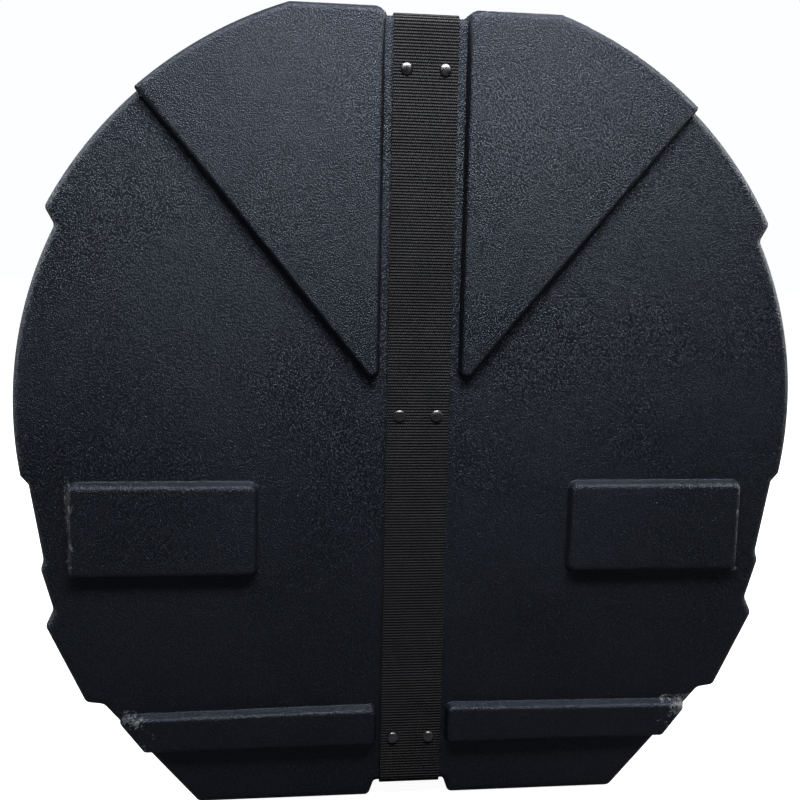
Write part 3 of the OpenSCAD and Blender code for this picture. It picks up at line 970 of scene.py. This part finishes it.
rivet = {
    "radius": 4.75 * mm,
    "height": 2.2 * mm,
    "spread": 15 * mm,
    "shank": 2.2 * mm,
    "grip": 6.3 * mm,          # wall, gap and webbing under the head
    "tail": 3.2 * mm,
    "tailHeight": 1.6 * mm,
    "washer": 0.8 * mm,
    "colour": (0.11, 0.11, 0.114, 1),
    "rubbed": (0.16, 0.16, 0.164, 1),
    "scuffed": (0.3, 0.3, 0.3, 1),
    "roughness": (0.3, 0.38),
}


def rivetProfile():
    r, h = rivet["radius"], rivet["height"]
    low, tail, deep = -rivet["grip"] - rivet["washer"], rivet["tail"], rivet["tailHeight"]
    dome = [(r * math.cos(math.radians(a)), h * (0.18 + 0.82 * math.sin(math.radians(a))))
            for a in range(0, 91, 10)]
    dome[-1] = (0, h)
    return [(0, low - deep), (tail * 0.7, low - deep + 0.1 * mm), (tail, low - deep / 2), (tail, low),
            (rivet["shank"], low), (rivet["shank"], 0), (r * 0.9, 0), (r, 0.12 * h)] + dome


def makeRivetEnamel():
    # thin black enamel over metal, rubbed a little brighter in places
    material, tree, shader, place, _ = newMaterial("rivetEnamel")
    dust = placeGroup(tree, softDust, {"Vector": place, "Scale": 160.0})["Mask"]
    marks = placeGroup(tree, scuffs, {"Vector": place, "Scale": 400.0, "Where": 0.5})["Mask"]
    grain = placeGroup(tree, pebbleGrain, {"Vector": place, "Scale": 1800.0, "Warp": 0.0003})
    base = colourMix(tree, dust, rivet["colour"], rivet["rubbed"])
    tree.links.new(colourMix(tree, maths(tree, "MULTIPLY", marks, 0.4), base, rivet["scuffed"]),
                   shader.inputs["Base Color"])
    tree.links.new(ranged(tree, dust, 0.0, 1.0, *rivet["roughness"]), shader.inputs["Roughness"])
    shader.inputs["Metallic"].default_value = 1.0
    setBump(tree, shader, grain["Height"], 0.03 * mm)
    return material


def makeRivets():
    material = makeRivetEnamel()
    model = spunPiece("rivetModel", rivetProfile())
    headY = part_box("strap_rivets_top")[0].y + rivet["height"]
    towardsBack = Matrix.Rotation(math.pi / 2, 4, "X")
    for place in ("Top", "Middle", "Bottom"):
        node = "strap_rivets_" + place.lower()
        low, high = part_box(node)
        z = (low.z + high.z) / 2
        pair = [copied(model, "rivet", Matrix.Translation((x, headY, z)) @ towardsBack)
                for x in (-rivet["spread"], rivet["spread"])]
        finished(joined("rivets" + place, pair), "base", [node], material)
    bpy.data.objects.remove(model)
    print("rivets")


def softened(node, name, body, material, width, segments=2):
    # a CAD part with its edges broken
    piece = bpy.data.objects.new(name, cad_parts[node].data.copy())
    bpy.context.scene.collection.objects.link(piece)
    editMode(piece)
    closeNormals(piece)
    bpy.ops.mesh.dissolve_limited(angle_limit=math.radians(1))
    objectMode()
    applyModifier(piece, "BEVEL", width=width, segments=segments, limit_method="ANGLE",
                  angle_limit=math.radians(32))
    return finished(piece, body, [node], material)


grip = {
    "radius": 10 * mm,
    "bore": 4.1 * mm,
    "half": 64.9 * mm,
    "endRound": (3 * mm, 0.9 * mm),
    "grooves": 14,
    "groovePitch": 7 * mm,
    "grooveDepth": 0.9 * mm,
    "grooveHalf": (1.3 * mm, 0.7 * mm),  # at the surface and at the bottom
}


def gripProfile():
    r, bore, half = grip["radius"], grip["bore"], grip["half"]
    (back, ease), (wide, narrow) = grip["endRound"], grip["grooveHalf"]
    points = [(bore, -half), (r - back, -half), (r - ease, -half + ease), (r, -half + back)]
    first = -grip["groovePitch"] * (grip["grooves"] - 1) / 2
    deep = r - grip["grooveDepth"]
    for k in range(grip["grooves"]):
        middle = first + k * grip["groovePitch"]
        points += [(r, middle - wide), (deep, middle - narrow), (deep, middle + narrow), (r, middle + wide)]
    points += [(r, half - back), (r - ease, half - ease), (r - back, half), (bore, half), (bore, -half)]
    return points


def makeFittings():
    plastic = makeFittingFinish("fittingPlastic", "plastic")
    rubber = makeFittingFinish("gripRubber", "rubber")
    steel = makeSteel()
    softened("buckle_body", "buckleBody", "lid", plastic, 0.8 * mm, 3)
    softened("buckle_plug", "bucklePlug", "plug", plastic, 0.7 * mm, 3)
    softened("buckle_prong_left", "buckleProngLeft", "prong_left", plastic, 0.6 * mm)
    softened("buckle_prong_right", "buckleProngRight", "prong_right", plastic, 0.6 * mm)
    softened("strap_keeper", "strapKeeper", "keeper", plastic, 0.5 * mm)
    softened("handle_bail", "handleBail", "handle", plastic, 0.8 * mm, 3)
    for side in ("left", "right"):
        node = "handle_bracket_" + side
        softened(node, "handleBracket" + side.capitalize(), "base", plastic, 0.6 * mm)
    low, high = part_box("handle_grip")
    sleeve = spunPiece("handleGrip", gripProfile(), 40)
    sleeve.matrix_world = Matrix.Translation((low + high) / 2) @ Matrix.Rotation(math.pi / 2, 4, "Y")
    finished(sleeve, "handle", ["handle_grip"], rubber)
    for node in ("strap_washers", "handle_pins", "bracket_rivets", "bracket_washers"):
        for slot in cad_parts[node].material_slots:
            slot.material = steel
    print("fittings")


def makeLining():
    foam = makeFoam()
    for node, name, body in (("base_floor_foam", "foamTubFloor", "base"),
                             ("base_wall_foam", "foamTubWall", "base"),
                             ("lid_foam", "foamLid", "lid")):
        piece = softened(node, name, body, foam, 2.2 * mm, 3)
    print("lining")


studio = {
    "floor": (0.62, 0.625, 0.63, 1),
    "floorInGloss": (0.05, 0.05, 0.055, 1),  # kept dark where the case mirrors it
    "floorGlow": (0.96, 0.96, 0.96, 1),      # for the camera only
    "floorSize": 30.0,
    "backdrop": (0.98, 0.99, 1.0, 1),
    "backdropBehind": 0.1,                   # its light from behind the case
    "backdropInFront": 0.024,
}

# place, target, size and power
lights = {
    "topFront": ((0.05, -0.72, 1.24), (0, -0.25, 0.66), (0.9, 0.28), 25),
    "left": ((-1.9, 0, 1.3), (0, 0, 0.4), (0.6, 1.2), 45),
    "right": ((2.2, 0, 1.3), (0, 0, 0.4), (0.6, 1.2), 55),
    "behind": ((0.9, 1.9, 1.7), (0, 0.2, 0.35), (1.4, 0.8), 55),
}


def addFloor():
    deselectAll()
    bpy.ops.mesh.primitive_plane_add(size=studio["floorSize"], location=(0, 0, -0.0005))
    floor = bpy.context.object
    floor.name = "floor"
    paint, tree, shade, *_ = newMaterial("floorPaper")
    seen = put(tree, "ShaderNodeLightPath").outputs["Is Camera Ray"]
    shade.inputs["Emission Strength"].default_value = 1
    glow = colourMix(tree, seen, (0, 0, 0, 1), studio["floorGlow"])
    colour = colourMix(tree, seen, studio["floorInGloss"], studio["floor"])
    tree.links.new(glow, shade.inputs["Emission Color"])
    tree.links.new(colour, shade.inputs["Base Color"])
    shade.inputs["Roughness"].default_value = 0.9
    floor.data.materials.append(paint)


def addLight(name, place, target, size, power):
    data = bpy.data.lights.new(name, "AREA")
    data.shape = "RECTANGLE"
    data.size, data.size_y = size
    data.energy = power
    lamp = bpy.data.objects.new(name, data)
    bpy.context.scene.collection.objects.link(lamp)
    lamp.location = place
    lamp.rotation_euler = (Vector(target) - Vector(place)).to_track_quat("-Z", "Y").to_euler()


def addWorld():
    # white to the camera, and dim to everything else, so that the flat face isn't washed out
    world = bpy.data.worlds.new("studio")
    world.use_nodes = True
    tree = world.node_tree
    back = tree.nodes["Background"]
    place = put(tree, "ShaderNodeTexCoord").outputs["Generated"]
    axes = put(tree, "ShaderNodeSeparateXYZ", {0: place}).outputs
    behind = ranged(tree, axes["Y"], -0.35, 0.5)
    lit = maths(tree, "ADD", maths(tree, "MULTIPLY", behind, studio["backdropBehind"]),
                studio["backdropInFront"])
    seen = put(tree, "ShaderNodeLightPath").outputs["Is Camera Ray"]
    tree.links.new(maths(tree, "MAXIMUM", lit, seen), back.inputs["Strength"])
    back.inputs["Color"].default_value = studio["backdrop"]
    bpy.context.scene.world = world
    bpy.context.scene.view_settings.view_transform = "Standard"


makeShells()
makeWebbingRuns()
makeRivets()
makeFittings()
makeLining()
addFloor()
for name, setting in lights.items():
    addLight(name, *setting)
addWorld()
print("studio")
